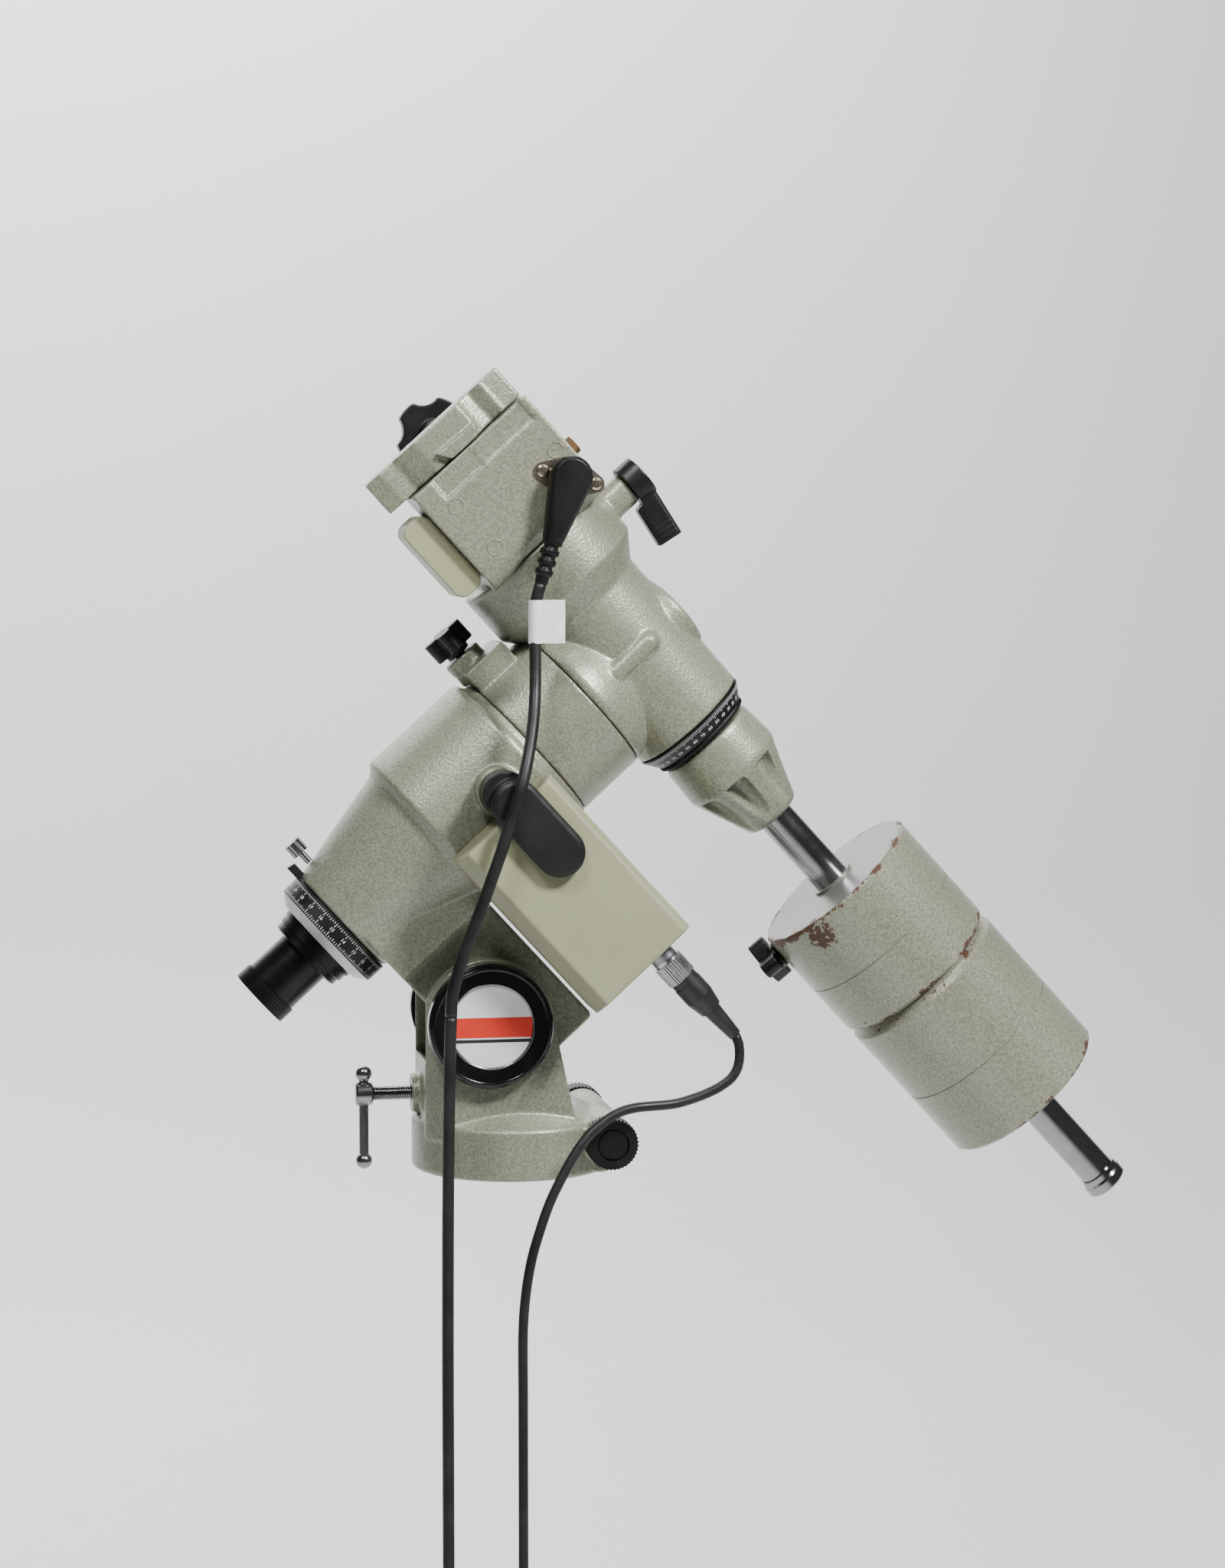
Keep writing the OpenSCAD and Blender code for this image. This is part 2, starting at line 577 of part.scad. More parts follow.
// The fixed side leans over the groove, and the clamping jaw fills its far side.
module groove_section() {
    polygon([
        [-groove_w / 2, groove_h], [groove_w / 2 + 9, groove_h], [groove_w / 2 + 9, 170],
        [-groove_w / 2 + 6, 170], [-groove_w / 2 + 3.8, saddle_h[1]]
    ]);
}
module saddle() color(paint) dec_frame() difference() {
    union() {
        translate([0, 0, saddle_h[0]]) linear_extrude(saddle_h[1] - saddle_h[0]) saddle_plan();
        translate([0, 0, 139.4]) cylinder(r = 28, h = 6);
        // pointer that hangs from the near side
        translate([0, -saddle_w / 2 + 1, 0]) rotate([90, 0, 0]) linear_extrude(4.4)
            polygon([[-9.5, 152], [17, 151], [13.5, saddle_h[0]], [-4.5, saddle_h[0]]]);
        translate([clamp_u, 0, clamp_h]) along_y(saddle_w / 2 - 10, saddle_w / 2 - 1, 7.5);
    }
    translate([0, 0, 135]) cylinder(r = dec_shaft_r, h = saddle_h[0] - 135);
    translate([-60, 0, 0]) rotate([90, 0, 90]) linear_extrude(120) groove_section();
    translate([-60, groove_w / 2, far_wall_h]) cube([120, 40, 20]);
    for (x = [-19, 19], y = [-10, 10]) translate([x, y, 140]) cylinder(r = 2.75, h = 20);
    translate([clamp_u, 0, clamp_h]) along_y(20, 70, 4 + run);
}
module clamp_jaw() color(paint) along_u(-32, 36) polygon([
    [groove_h + 0.3, groove_w / 2 + 1], [far_wall_h - 0.3, groove_w / 2 - 1],
    [far_wall_h - 0.3, groove_w / 2 + 5], [groove_h + 0.3, groove_w / 2 + 5]
]);
clamp_knob_r = 20.8;
clamp_knob_y = 70;
// The long hub keeps the knob outside the drive case as the saddle turns.
module clamp_knob() color(black) dec_frame(clamp_h) translate([clamp_u, 0, 0]) union() {
    along_y(groove_w / 2 + 5.3, clamp_knob_y, 4);
    along_y(saddle_w / 2 - 0.6, clamp_knob_y + 1, 8);
    rotate([-90, 0, 0]) translate([0, 0, clamp_knob_y]) linear_extrude(11) difference() {
        circle(r = clamp_knob_r);
        for (i = [0 : 4]) rotate(i * 72 + 11) translate([27.4, 0]) circle(r = 10.5);
    }
}

// ---------- counterweights ----------
nut_h = [-121, -62.9];
module shaft_nut() color(paint) dec_frame() difference() {
    rotate_extrude() polygon([
        [0, -121], [14.5, -121], [16.4, -119.5], [28.6, -88], [29.2, -85], [28, -66],
        [27, nut_h[1]], [0, nut_h[1]]
    ]);
    for (i = [0 : 7]) rotate(i * 45 + 30) translate([22.4, 0, -126])
        rotate([0, 5.7, 0]) cylinder(r = 6.2, h = 38.2);
    translate([0, 0, -130]) cylinder(r = bar_r + run, h = 80);
    translate([0, 0, -81.5]) cylinder(r = 12 + run, h = 30);
}
module counterweight_bar() color(steel) dec_frame(-404) cylinder(r = bar_r, h = 362);
module bar_end_stop() color(steel) dec_frame(-408) difference() {
    rotate_extrude()
        polygon([[0, 0], [11, 0], [12, 1], [12, 5.5], [11.4, 7], [11.4, 10], [0, 10]]);
    translate([0, 0, 4]) cylinder(r = bar_r + run, h = 10);
}
weight_top = -171;
module weight(top, l, chamfer) {
    dec_frame(top - l) difference() {
        rotate_extrude() polygon([
            [bar_r + run, 0], [weight_r - 2, 0], [weight_r, 2], [weight_r, l - chamfer],
            [weight_r - chamfer, l], [bar_r + run, l]
        ]);
        translate([0, 0, l * 0.45]) ring(weight_r + 1, weight_r - 0.5, 0.6);
    }
}
// Weight with its lock screw's hole. turn is the screw's direction round the bar.
module drilled_weight(top, l, chamfer, drop, turn) {
    difference() {
        weight(top, l, chamfer);
        dec_frame(top - drop) rotate(turn) along_x(-60, -8, 4 + run);
    }
}
upper_drop = 12;
lower_drop = 46;
upper_turn = -12;
lower_turn = -90;
lower_top = weight_top - upper_l - 0.8;
module upper_weight() color(paint) {
    drilled_weight(weight_top, upper_l, 1.5, upper_drop, upper_turn);
    dec_frame(weight_top) ring(12.5, bar_r + run, 1.6);
}
module lower_weight() color(paint)
    drilled_weight(lower_top, lower_l, 5, lower_drop, lower_turn);
module weight_knob(h, turn) {
    dec_frame(h) rotate(turn) rotate([0, -90, 0]) union() {
        translate([0, 0, bar_r + 0.4]) cylinder(r = 4, h = 41);
        translate([0, 0, weight_r + 0.4]) cylinder(r = 7.5, h = 3.2);
        translate([0, 0, weight_r + 2.4]) linear_extrude(10) union() {
            for (t = [30 : 120 : 270]) rotate(t) lobe(14.5, 9.5);
        }
    }
}
module upper_weight_knob() color(black) weight_knob(weight_top - upper_drop, upper_turn);
module lower_weight_knob() color(black) weight_knob(lower_top - lower_drop, lower_turn);

// ---------- leads ----------
// Centre lines of the free leads, from their strain reliefs down to their coils.
dec_route_upper = [
    [7.3, -61, 317], [4.9, -61.2, 308], [4.2, -62, 297], [4, -63, 285], [3.8, -65, 273],
    [3, -69, 260], [1, -76, 246], [-2.5, -84.5, 231], [-7, -91.2, 215], [-12, -92.3, 200],
    [-16, -92.8, 187], [-20.5, -93, 174], [-25.5, -93, 160], [-31, -92, 145], [-36.5, -91, 130],
    [-40.7, -90, 117], [-43.45, -89.1, 106], [-44, -88, 95]
];
dec_route_lower = [
    [-44, -88, 94.6], [-44.3, -87.2, 84], [-44.5, -86, 72], [-44.6, -84.6, 58], [-44.7, -83.3, 42],
    [-44.8, -82, 24], [-44.9, -81, 6], [-45, -80.4, -12], [-45.1, -80.1, -32], [-45.2, -80, -54],
    [-45.3, -80, -78], [-45.35, -80, -104], [-45.35, -80, -132], [-45.35, -80, -162],
    [-45.35, -80, -194], [-45.35, -80, -229]
];
ra_route = [
    [111.24, -62, 77.27], [113.2, -62, 72.6], [113.7, -62.1, 66.5], [112.7, -62.5, 60],
    [109.3, -63, 54.5], [103, -63.5, 50], [96, -64, 46.8], [89, -64.5, 44.4],
    [79, -65.5, 42], [71, -66.5, 41.4],
    [63, -68, 41.3], [55, -69, 40.8], [47, -70, 38.8], [38.5, -71.5, 34], [30, -73, 27],
    [24, -74.5, 20], [18.5, -76, 11.5], [13, -77.5, 2], [8, -79, -8], [3, -81, -21],
    [-1.5, -82, -36], [-4.5, -82, -54], [-6, -82, -75], [-6, -82, -110], [-6, -82, -160],
    [-6, -82, -228]
];
function unit(v) = v / norm(v);
function tangent(path, i) = unit(path[min(i + 1, len(path) - 1)] - path[max(i - 1, 0)]);
// One ring of a tube: its plane stands across the path, with one side along y.
function tube_ring(centre, t, r, sides) =
    let (n = unit(cross(t, [0, 1, 0])), m = cross(t, n))
    [for (k = [0 : sides - 1])
        centre + r * (cos(360 * k / sides) * n + sin(360 * k / sides) * m)];
module tube(path, r, sides) {
    rings = len(path);
    points = [for (i = [0 : rings - 1]) each tube_ring(path[i], tangent(path, i), r, sides)];
    sides_faces = [for (i = [0 : rings - 2], k = [0 : sides - 1]) let (n = (k + 1) % sides)
        [i * sides + k, (i + 1) * sides + k, (i + 1) * sides + n, i * sides + n]];
    first = [for (k = [0 : sides - 1]) k];
    last = [for (k = [sides - 1 : -1 : 0]) (rings - 1) * sides + k];
    polyhedron(points, concat(sides_faces, [first, last]));
}
// Flag-shaped paper label folded round the lead.
tag_z = [286, 308.6];
module cable_tag() color("white") translate([4.4, -62.2, tag_z[0]]) difference() {
    union() {
        cylinder(r = dec_lead_d / 2 + 0.7, h = tag_z[1] - tag_z[0]);
        translate([0, -0.4, 0]) cube([15.5, 0.8, tag_z[1] - tag_z[0]]);
    }
    translate([0, 0, -1]) cylinder(r = dec_lead_d / 2 + 0.35, h = 40);
}
module dec_lead_upper() color(black) tube(dec_route_upper, dec_lead_d / 2, 10);
module dec_lead_lower() color(black) tube(dec_route_lower, dec_lead_d / 2, 10);
module ra_lead() color(black) tube(ra_route, ra_lead_d / 2, 8);
// Round coil hanging on its own lead: centre x and z, first turn's y, mean radius, turns.
dec_coil = [-80, -252, -80, 34.65, 3];
ra_coil = [23.15, -248, -82, 29.15, 3];
module lead_coil(c, d) {
    wall = d / 2 + 0.5;
    translate([c[0], c[2] - wall, c[1]]) rotate([-90, 0, 0])
        ring(c[3] + wall, c[3] - wall, 2 * wall + c[4] * d * 1.03);
}
module dec_lead_coil() color(black) lead_coil(dec_coil, dec_lead_d);
module ra_lead_coil() color(black) lead_coil(ra_coil, ra_lead_d);
// Round multi-pin plug hanging beside its coil, with a tapered relief at its top.
module far_plug(top, r) {
    translate(top) rotate([180, 0, 0]) rotate_extrude() polygon([
        [0, 0], [r * 0.5, 0], [r * 0.62, 14], [r * 0.95, 15], [r, 17], [r, 29], [r * 0.85, 30],
        [r * 0.85, 38], [0, 38]
    ]);
}
module dec_lead_far_plug() color(black) far_plug([-39.6, -60.5, -260], 6.6);
module ra_lead_far_plug() color(black) far_plug([-10.4, -66, -258], 6.2);

azimuth_base();
altitude_pivot();
altitude_cap_front();
altitude_cap_rear();
cap_badge();
azimuth_knob_near();
azimuth_knob_far();
altitude_screw();
altitude_tbar();
ra_housing();
ra_bearings();
ra_motor_case();
ra_motor();
ra_gear_cover();
ra_plug();
polar_scope_tube();
polar_scope_lenses();
eyepiece_ring();
circle_retaining_ring();
ra_setting_circle();
ra_circle_screw();
ra_worm_wheel();
ra_worm();
ra_shaft();
ra_collar();
ra_clutch_knob();
dec_housing();
dec_bearings();
polar_window_cap();
dec_clutch_lever();
dec_motor_case();
dec_case_bolt();
dec_gear_cover();
dec_motor();
dec_socket();
dec_plug();
dec_worm_wheel();
dec_worm();
dec_setting_circle();
dec_shaft();
saddle();
clamp_jaw();
clamp_knob();
shaft_nut();
counterweight_bar();
bar_end_stop();
upper_weight();
lower_weight();
upper_weight_knob();
lower_weight_knob();
cable_tag();
dec_lead_upper();
dec_lead_lower();
dec_lead_coil();
dec_lead_far_plug();
ra_lead();
ra_lead_coil();
ra_lead_far_plug();
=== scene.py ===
"""Looks of an equatorial mount head: materials, graduations, cast edges, leads, light and camera."""

import json
import math

import bmesh
import bpy
from mathutils import Matrix, Vector


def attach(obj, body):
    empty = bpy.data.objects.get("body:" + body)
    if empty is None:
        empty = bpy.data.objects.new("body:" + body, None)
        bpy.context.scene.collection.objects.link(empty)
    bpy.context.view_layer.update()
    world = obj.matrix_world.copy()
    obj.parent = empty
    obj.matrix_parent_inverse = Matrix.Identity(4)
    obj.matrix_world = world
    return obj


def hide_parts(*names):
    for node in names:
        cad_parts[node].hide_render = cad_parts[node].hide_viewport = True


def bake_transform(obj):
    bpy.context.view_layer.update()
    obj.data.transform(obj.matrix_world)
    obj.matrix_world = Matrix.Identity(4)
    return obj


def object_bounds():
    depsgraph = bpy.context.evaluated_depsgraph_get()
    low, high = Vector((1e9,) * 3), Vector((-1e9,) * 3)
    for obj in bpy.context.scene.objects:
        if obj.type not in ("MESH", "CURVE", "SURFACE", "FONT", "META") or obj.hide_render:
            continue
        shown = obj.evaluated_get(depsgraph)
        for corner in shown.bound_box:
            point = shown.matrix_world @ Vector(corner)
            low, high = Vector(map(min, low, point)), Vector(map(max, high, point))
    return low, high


MM = 0.001
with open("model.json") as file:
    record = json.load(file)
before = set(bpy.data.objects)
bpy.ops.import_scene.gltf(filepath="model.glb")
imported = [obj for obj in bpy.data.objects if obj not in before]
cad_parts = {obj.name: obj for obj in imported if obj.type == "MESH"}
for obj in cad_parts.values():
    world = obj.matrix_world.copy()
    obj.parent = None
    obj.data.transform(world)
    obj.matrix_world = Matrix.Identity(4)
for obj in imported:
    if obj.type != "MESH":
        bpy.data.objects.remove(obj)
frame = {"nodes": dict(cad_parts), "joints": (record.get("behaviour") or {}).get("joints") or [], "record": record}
cad_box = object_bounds()
nodes = frame["nodes"]
joints = {joint["name"]: joint for joint in frame["joints"]}
body_of = {
    node: body
    for body, members in frame["record"]["behaviour"]["bodies"].items()
    for node in members
}

# ---------- the two axes ----------
Y = Vector((0, 1, 0))
POLAR = Vector(joints["ra_turn"]["axis"])  # up the polar axis
TO_SADDLE = Vector(joints["dec_turn"]["axis"])  # up the declination axis
CROSS_A = 192 * MM  # where the declination axis crosses, measured up the polar axis
CROSSING = Vector(joints["dec_turn"]["pos_m"]) - 60 * MM * TO_SADDLE
POLAR_FOOT = CROSSING - CROSS_A * POLAR
PIVOT = Vector(joints["altitude_tilt"]["pos_m"])


def axes(origin, x, y, z):
    matrix = Matrix((x, y, z)).transposed().to_4x4()
    matrix.translation = origin
    return matrix


def polar_frame(a=0.0):
    """x runs towards the weights and z up the polar axis, a metres up it."""
    return axes(POLAR_FOOT + a * POLAR, -TO_SADDLE, Y, POLAR)


def dec_frame(h=0.0):
    """x runs up the polar axis and z up to the saddle, h metres above the crossing."""
    return axes(CROSSING + h * TO_SADDLE, POLAR, Y, TO_SADDLE)


# ---------- materials ----------
class Shader:
    """A Principled material, with short calls that add nodes to it."""

    def __init__(self, name, **sockets):
        self.material = bpy.data.materials.new(name)
        self.material.use_nodes = True
        self.tree = self.material.node_tree
        self.surface = self.tree.nodes["Principled BSDF"]
        for socket, value in sockets.items():
            self.surface.inputs[socket.replace("_", " ")].default_value = value
        self.place = self.add("ShaderNodeTexCoord").outputs["Object"]

    def add(self, kind, inputs=None, **settings):
        node = self.tree.nodes.new(kind)
        for key, value in settings.items():
            setattr(node, key, value)
        for key, value in (inputs or {}).items():
            if isinstance(value, bpy.types.NodeSocket):
                self.tree.links.new(value, node.inputs[key])
            else:
                node.inputs[key].default_value = value
        return node

    def noise(self, size, detail=2.0, rough=0.5):
        """Noise whose lumps are about size metres across."""
        return self.add(
            "ShaderNodeTexNoise",
            {"Vector": self.place, "Scale": 0.6 / size, "Detail": detail, "Roughness": rough},
        ).outputs["Fac"]

    def cells(self, size):
        """Distance from the middles of soft-edged cells about size metres across."""
        return self.add(
            "ShaderNodeTexVoronoi", {"Vector": self.place, "Scale": 1 / size}, feature="SMOOTH_F1"
        ).outputs["Distance"]

    def ramp(self, value, low, high, start=0.0, end=1.0):
        """value mapped from low..high to start..end and held there."""
        return self.add(
            "ShaderNodeMapRange",
            {"Value": value, "From Min": low, "From Max": high, "To Min": start, "To Max": end},
        ).outputs["Result"]

    def math(self, operation, a, b=0.0):
        return self.add("ShaderNodeMath", {0: a, 1: b}, operation=operation).outputs[0]

    def mix(self, share, a, b):
        """Colour a, going over to colour b as share goes from 0 to 1."""
        node = self.add("ShaderNodeMix", data_type="RGBA")
        for index, value in ((0, share), (6, a), (7, b)):
            if isinstance(value, bpy.types.NodeSocket):
                self.tree.links.new(value, node.inputs[index])
            else:
                node.inputs[index].default_value = value
        return node.outputs[2]

    def along(self, origin, axis):
        """How far a point lies along axis from origin, in metres."""
        offset = self.add(
            "ShaderNodeVectorMath", {0: self.place, 1: tuple(origin)}, operation="SUBTRACT"
        ).outputs[0]
        return self.add(
            "ShaderNodeVectorMath", {0: offset, 1: tuple(axis)}, operation="DOT_PRODUCT"
        ).outputs["Value"]

    def from_axis(self, origin, axis):
        """How far a point lies from the line through origin along axis, in metres."""
        offset = self.add(
            "ShaderNodeVectorMath", {0: self.place, 1: tuple(origin)}, operation="SUBTRACT"
        ).outputs[0]
        across = self.add(
            "ShaderNodeVectorMath", {0: offset, 1: tuple(axis)}, operation="CROSS_PRODUCT"
        ).outputs[0]
        return self.add("ShaderNodeVectorMath", {0: across}, operation="LENGTH").outputs["Value"]

    def bump(self, height, distance, strength=1.0):
        normal = self.add(
            "ShaderNodeBump", {"Height": height, "Distance": distance, "Strength": strength}
        )
        previous = self.surface.inputs["Normal"]
        if previous.is_linked:
            self.tree.links.new(previous.links[0].from_socket, normal.inputs["Normal"])
        self.tree.links.new(normal.outputs["Normal"], previous)

    def set(self, socket, value):
        self.tree.links.new(value, self.surface.inputs[socket])


WEIGHT_TOP = -171 * MM  # measured up the declination axis
WEIGHT_RADIUS = 49 * MM
UPPER_LENGTH = 69 * MM
LOWER_LENGTH = 93 * MM


def grey(value):
    return (value, value, value, 1)


def hammertone(name, base=(0.245, 0.252, 0.185)):
    """Satin textured enamel: a leathery grain of rounded ridges under a thin clear coat."""
    s = Shader(name, Metallic=0.25, Coat_Weight=0.3, Coat_Roughness=0.3)
    ridges = s.cells(1.3 * MM)
    grain = s.noise(0.8 * MM, 3, 0.6)
    height = s.math("ADD", s.ramp(ridges, 0.1, 0.8), s.math("MULTIPLY", grain, 1.3))
    s.bump(height, 0.14 * MM, 0.8)
    dark = tuple(0.72 * channel for channel in base) + (1,)
    light = tuple(1.12 * channel for channel in base) + (1,)
    tone = s.mix(s.ramp(grain, 0.40, 0.60), dark, light)
    drift = s.ramp(s.noise(60 * MM, 3), 0.35, 0.65, 0.95, 1.04)
    shade = s.add("ShaderNodeHueSaturation", {"Color": tone, "Value": drift}).outputs["Color"]
    s.set("Base Color", shade)
    s.set("Roughness", s.ramp(grain, 0.3, 0.7, 0.46, 0.30))
    s.shade = shade
    return s


def cream_enamel(name):
    s = Shader(name, Coat_Weight=0.15, Coat_Roughness=0.4)
    drift = s.noise(45 * MM, 3)
    speck = s.noise(0.6 * MM, 3, 0.6)
    tone = s.mix(s.ramp(drift, 0.35, 0.65), (0.265, 0.275, 0.165, 1), (0.29, 0.30, 0.185, 1))
    s.set("Base Color", s.mix(s.ramp(speck, 0.55, 0.8, 0, 0.25), tone, (0.22, 0.23, 0.13, 1)))
    s.bump(s.noise(1.2 * MM, 3, 0.6), 0.03 * MM, 0.5)
    s.set("Roughness", s.ramp(s.noise(9 * MM, 4), 0.3, 0.7, 0.38, 0.52))
    return s


def weight_enamel(name, top, length, knocked=None):
    """The enamel with rust showing through chips at both rims, and round the point knocked."""
    s = hammertone(name)
    h = s.along(CROSSING, TO_SADDLE)
    inside = s.math("SUBTRACT", WEIGHT_RADIUS, s.from_axis(CROSSING, TO_SADDLE))
    rims = [
        s.math("MAXIMUM", inside, s.math("ABSOLUTE", s.math("SUBTRACT", h, rim))) for rim in (top, top - length)
    ]
    flake = s.noise(11 * MM, 5, 0.75)
    reach = s.ramp(flake, 0.46, 0.68, 0.0, 6.5 * MM)
    chip = s.math("LESS_THAN", s.math("MINIMUM", *rims), reach)
    if knocked:
        spread = s.add("ShaderNodeVectorMath", {0: s.place, 1: tuple(knocked)}, operation="DISTANCE")
        worn = s.ramp(spread.outputs["Value"], 4 * MM, 17 * MM, 0.40, 0.74)
        chip = s.math("MAXIMUM", chip, s.math("GREATER_THAN", flake, worn))
    rust = s.mix(s.noise(1.6 * MM, 4, 0.7), (0.11, 0.042, 0.016, 1), (0.04, 0.024, 0.017, 1))
    # The top face goes over to a flat darker grey. This is partly the top's greyer paint and partly painted shade,
    # which keeps the top from looking bright under the wall light.
    grey_top_painted_shade = s.math("MULTIPLY", s.math("GREATER_THAN", h, top - 0.4 * MM), 0.75)
    colour = s.mix(grey_top_painted_shade, s.shade, (0.13, 0.135, 0.13, 1))
    s.set("Base Color", s.mix(chip, colour, rust))
    s.set("Roughness", s.ramp(chip, 0, 1, 0.34, 0.8))
    return s


def plastic(name, colour=grey(0.005), rough=0.32, grain=0.35 * MM, depth=0.02 * MM, coat=0.0):
    s = Shader(name, Base_Color=colour, Roughness=rough, Specular_IOR_Level=0.32, Coat_Weight=coat,
               Coat_Roughness=0.12)
    wear = s.noise(14 * MM, 5, 0.6)
    lighter = tuple(channel * 1.6 + 0.002 for channel in colour[:3]) + (1,)
    s.set("Base Color", s.mix(s.ramp(wear, 0.45, 0.8, 0, 0.6), colour, lighter))
    s.set("Roughness", s.ramp(wear, 0.3, 0.75, rough, rough + 0.14))
    s.bump(s.noise(grain, 3), depth, 0.6)
    return s


def metal(name, colour, rough, turned=None, depth=0.004 * MM, scratch=0.5):
    """Bare metal. turned is the (origin, axis) that its tool marks run round."""
    s = Shader(name, Base_Color=colour, Metallic=1.0, Roughness=rough)
    smear = s.noise(8 * MM, 5, 0.65)
    darker = tuple(0.72 * channel for channel in colour[:3]) + (1,)
    s.set("Base Color", s.mix(s.ramp(smear, 0.4, 0.75, 0, scratch), colour, darker))
    s.set("Roughness", s.ramp(smear, 0.3, 0.75, rough, rough + 0.12))
    if turned:
        rings = s.math("SINE", s.math("MULTIPLY", s.along(*turned), 2 * math.pi / (0.32 * MM)))
        s.bump(s.math("ADD", rings, s.noise(0.5 * MM, 2)), depth, 0.5)
    else:
        s.bump(s.noise(0.9 * MM, 4, 0.7), depth * 3, 0.4)
    return s


def lead_jacket(name):
    s = Shader(name, Roughness=0.45, Specular_IOR_Level=0.3)
    s.set("Base Color", s.mix(s.ramp(s.noise(12 * MM, 4), 0.4, 0.75), grey(0.008), grey(0.018)))
    s.set("Roughness", s.ramp(s.noise(5 * MM, 4), 0.3, 0.7, 0.36, 0.55))
    s.bump(s.noise(0.7 * MM, 3), 0.03 * MM, 0.5)
    return s


def badge_bands(name):
    """A printed disc in plain bands: pale, red, dark and pale again from the top."""
    s = Shader(name, Coat_Weight=0.5, Coat_Roughness=0.08, Roughness=0.3)
    height = s.math("SUBTRACT", s.along(PIVOT, (0, 0, 1)), s.ramp(s.noise(30 * MM), 0, 1, -0.15 * MM, 0.15 * MM))
    pale = s.mix(s.noise(20 * MM, 3), (0.62, 0.64, 0.66, 1), (0.68, 0.70, 0.71, 1))
    red = s.math("LESS_THAN", s.math("ABSOLUTE", s.math("SUBTRACT", height, -0.5 * MM)), 5.4 * MM)
    dark = s.math("LESS_THAN", s.math("ABSOLUTE", s.math("SUBTRACT", height, -7.6 * MM)), 0.9 * MM)
    s.set("Base Color", s.mix(dark, s.mix(red, pale, (0.55, 0.035, 0.02, 1)), (0.02, 0.02, 0.02, 1)))
    s.bump(s.noise(2 * MM, 2), 0.004 * MM, 0.3)
    return s


def sleeved_plug(name):
    """Black plastic with a plated knurled sleeve near the socket."""
    s = Shader(name)
    nose = POLAR_FOOT + 91 * MM * POLAR - 118 * MM * TO_SADDLE
    out = s.along(nose, -TO_SADDLE)
    plated = s.math("LESS_THAN", out, 19.2 * MM)
    wear = s.noise(6 * MM, 4)
    s.set("Metallic", plated)
    s.set("Base Color", s.mix(plated, grey(0.012), s.mix(wear, grey(0.42), grey(0.60))))
    s.set("Roughness", s.math("ADD", s.math("MULTIPLY", plated, -0.12), s.ramp(wear, 0.3, 0.7, 0.32, 0.46)))
    s.bump(s.noise(0.6 * MM, 3), 0.01 * MM, 0.4)
    return s


def finish(node, shader):
    """Puts one material on every slot of a piece or CAD node."""
    piece = nodes[node] if isinstance(node, str) else node
    piece.data.materials.clear()
    piece.data.materials.append(shader.material)
    return piece


enamel = hammertone("hammertone_enamel")
KNOCKED = CROSSING + (WEIGHT_TOP - 9 * MM) * TO_SADDLE + WEIGHT_RADIUS * (
    math.cos(math.radians(-124)) * POLAR + math.sin(math.radians(-124)) * Y
)
upper_paint = weight_enamel("upper_weight_enamel", WEIGHT_TOP, UPPER_LENGTH, KNOCKED)
lower_paint = weight_enamel(
    "lower_weight_enamel", WEIGHT_TOP - UPPER_LENGTH - 0.8 * MM, LOWER_LENGTH
)
cream = cream_enamel("cream_enamel")
satin_black = plastic("satin_black")
gloss_black = plastic("gloss_black", grey(0.003), 0.12, 0.5 * MM, 0.004 * MM, 0.25)
rubber_black = plastic("rubber_black", grey(0.007), 0.42, 0.5 * MM, 0.05 * MM)
jacket = lead_jacket("lead_jacket")
anodised = plastic("anodised_black", grey(0.002), 0.24, 0.4 * MM, 0.003 * MM)
dial_black = plastic("dial_black", grey(0.004), 0.34, 0.3 * MM, 0.006 * MM)
white_ink = plastic("white_ink", grey(0.62), 0.5, 0.3 * MM, 0.002 * MM)
bright_plate = metal("bright_plate", (0.30, 0.30, 0.30, 1), 0.16)
turned_steel = metal("turned_steel", (0.36, 0.36, 0.35, 1), 0.28, (POLAR_FOOT, POLAR))
bar_chrome = metal("bar_chrome", (0.30, 0.30, 0.31, 1), 0.12, (CROSSING, TO_SADDLE), 0.0015 * MM)
satin_aluminium = metal("satin_aluminium", (0.46, 0.47, 0.48, 1), 0.34, (POLAR_FOOT, POLAR))
warm_nickel = metal("warm_nickel", (0.50, 0.44, 0.32, 1), 0.24)
motor_steel = metal("motor_steel", (0.32, 0.33, 0.35, 1), 0.35)
brass = metal("gear_brass", (0.62, 0.45, 0.18, 1), 0.25)
brown_steel = metal("brown_steel", (0.20, 0.12, 0.06, 1), 0.5)
paper = plastic("tag_paper", grey(0.72), 0.55, 0.8 * MM, 0.02 * MM)
glass = Shader("scope_glass", Base_Color=(0.9, 0.96, 1, 1), Roughness=0.02, Transmission_Weight=1.0, Coat_Weight=0.4)

for node in ("azimuth_base", "ra_housing", "ra_collar", "dec_housing", "polar_window_cap", "dec_motor_case",
             "saddle", "clamp_jaw", "shaft_nut"):
    finish(node, enamel)
finish("upper_weight", upper_paint)
finish("lower_weight", lower_paint)
for node in ("ra_motor_case", "dec_gear_cover"):
    finish(node, cream)
for node in ("azimuth_knob_near", "azimuth_knob_far", "ra_clutch_knob", "dec_clutch_lever", "clamp_knob",
             "upper_weight_knob", "lower_weight_knob", "dec_plug", "dec_lead_far_plug", "ra_lead_far_plug"):
    finish(node, satin_black)
for node in ("altitude_cap_front", "altitude_cap_rear"):
    finish(node, gloss_black)
for node in ("altitude_pivot", "ra_bearings", "ra_shaft", "dec_bearings", "dec_shaft", "ra_worm", "dec_worm"):
    finish(node, turned_steel)
for node in ("altitude_screw", "altitude_tbar", "ra_circle_screw"):
    finish(node, bright_plate)
for node in ("ra_motor", "dec_motor"):
    finish(node, motor_steel)
for node in ("counterweight_bar", "bar_end_stop"):
    finish(node, bar_chrome)
for node in ("ra_worm_wheel", "dec_worm_wheel"):
    finish(node, brass)
for node in ("polar_scope_tube", "eyepiece_ring"):
    finish(node, anodised)
